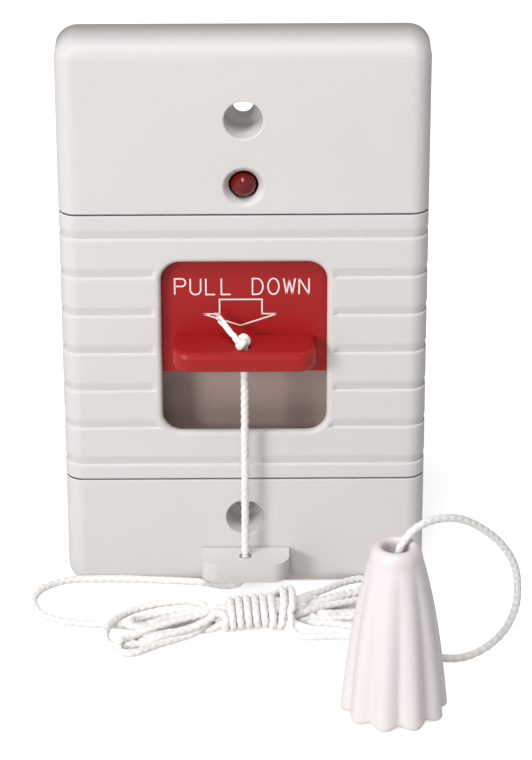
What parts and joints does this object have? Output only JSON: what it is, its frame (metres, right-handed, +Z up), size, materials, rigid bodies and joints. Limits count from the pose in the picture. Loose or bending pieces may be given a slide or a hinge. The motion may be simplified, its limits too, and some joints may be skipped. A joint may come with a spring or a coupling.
{
  "type": "emergency pull cord alarm",
  "caption": "Wall plate alarm with a red pull slider, indicator lamp, cord guide, wound pull cord and fluted pull bell.",
  "frame": {"origin": "on the lower edge of the plate, under the middle of the alarm from the front of its cord guide to the back of its terminals, without the free cord and bell", "axes": "+Z up the plate, +X to the right seen from the front, +Y towards the wall"},
  "size_m": [0.0938, 0.0824, 0.1143],
  "materials": {
    "cover_white": "fine texture",
    "frame_grey": "matt",
    "slider_red": "satin",
    "lamp_red": "gloss",
    "steel": "plated",
    "switch_black": "matt",
    "board_green": "satin",
    "terminal_green": "matt",
    "resistor_tan": "matt",
    "cord_white": "braided nylon",
    "bell_white": "satin"
  },
  "bodies": {
    "root": {"top_cover": "cover_white", "centre_cover": "cover_white", "bottom_cover": "cover_white", "cord_guide": "cover_white", "base_frame": "frame_grey", "friction_spring": "steel", "spring_screw": "steel", "switch_body": "switch_black", "switch_pin_1": "steel", "switch_pin_2": "steel", "switch_pin_3": "steel", "circuit_board": "board_green", "lamp": "lamp_red", "lamp_lead_1": "steel", "lamp_lead_2": "steel", "resistor": "resistor_tan", "terminal_block": "terminal_green", "terminal_screw_1": "steel", "terminal_screw_2": "steel", "terminal_screw_3": "steel", "terminal_screw_4": "steel", "cover_screw_1": "steel", "cover_screw_2": "steel", "cover_screw_3": "steel", "cover_screw_4": "steel", "cover_screw_5": "steel", "cover_screw_6": "steel", "board_screw_1": "steel", "board_screw_2": "steel", "board_screw_3": "steel", "board_screw_4": "steel", "cord_drop": "cord_white", "cord_lead": "cord_white", "cord_hank": "cord_white", "cord_tail": "cord_white", "cord_end_knot": "cord_white", "pull_bell": "bell_white"},
    "slider": {"slider": "slider_red", "cord_top_knot": "cord_white"},
    "switch_lever": {"switch_lever": "steel"},
    "switch_plunger": {"switch_plunger": "switch_black"}
  },
  "joints": [
    {"name": "slider_travel", "type": "slide", "parent": "root", "child": "slider", "axis": [0, 0, -1], "range_m": [0, 0.01], "deforming": ["cord_drop"]},
    {"name": "switch_lever_swing", "type": "hinge", "parent": "root", "child": "switch_lever", "pos_m": [0.012, -0.0026, 0.059], "axis": [-1, 0, 0], "range_deg": [0, 7.7]},
    {"name": "switch_plunger_press", "type": "slide", "parent": "root", "child": "switch_plunger", "axis": [0, 1, 0], "range_m": [0, 0.00066]}
  ],
  "couplings": [
    {"joint": "switch_lever_swing", "follows": "slider_travel", "rad_per_m": 13.25},
    {"joint": "switch_plunger_press", "follows": "slider_travel", "ratio": 0.065}
  ]
}
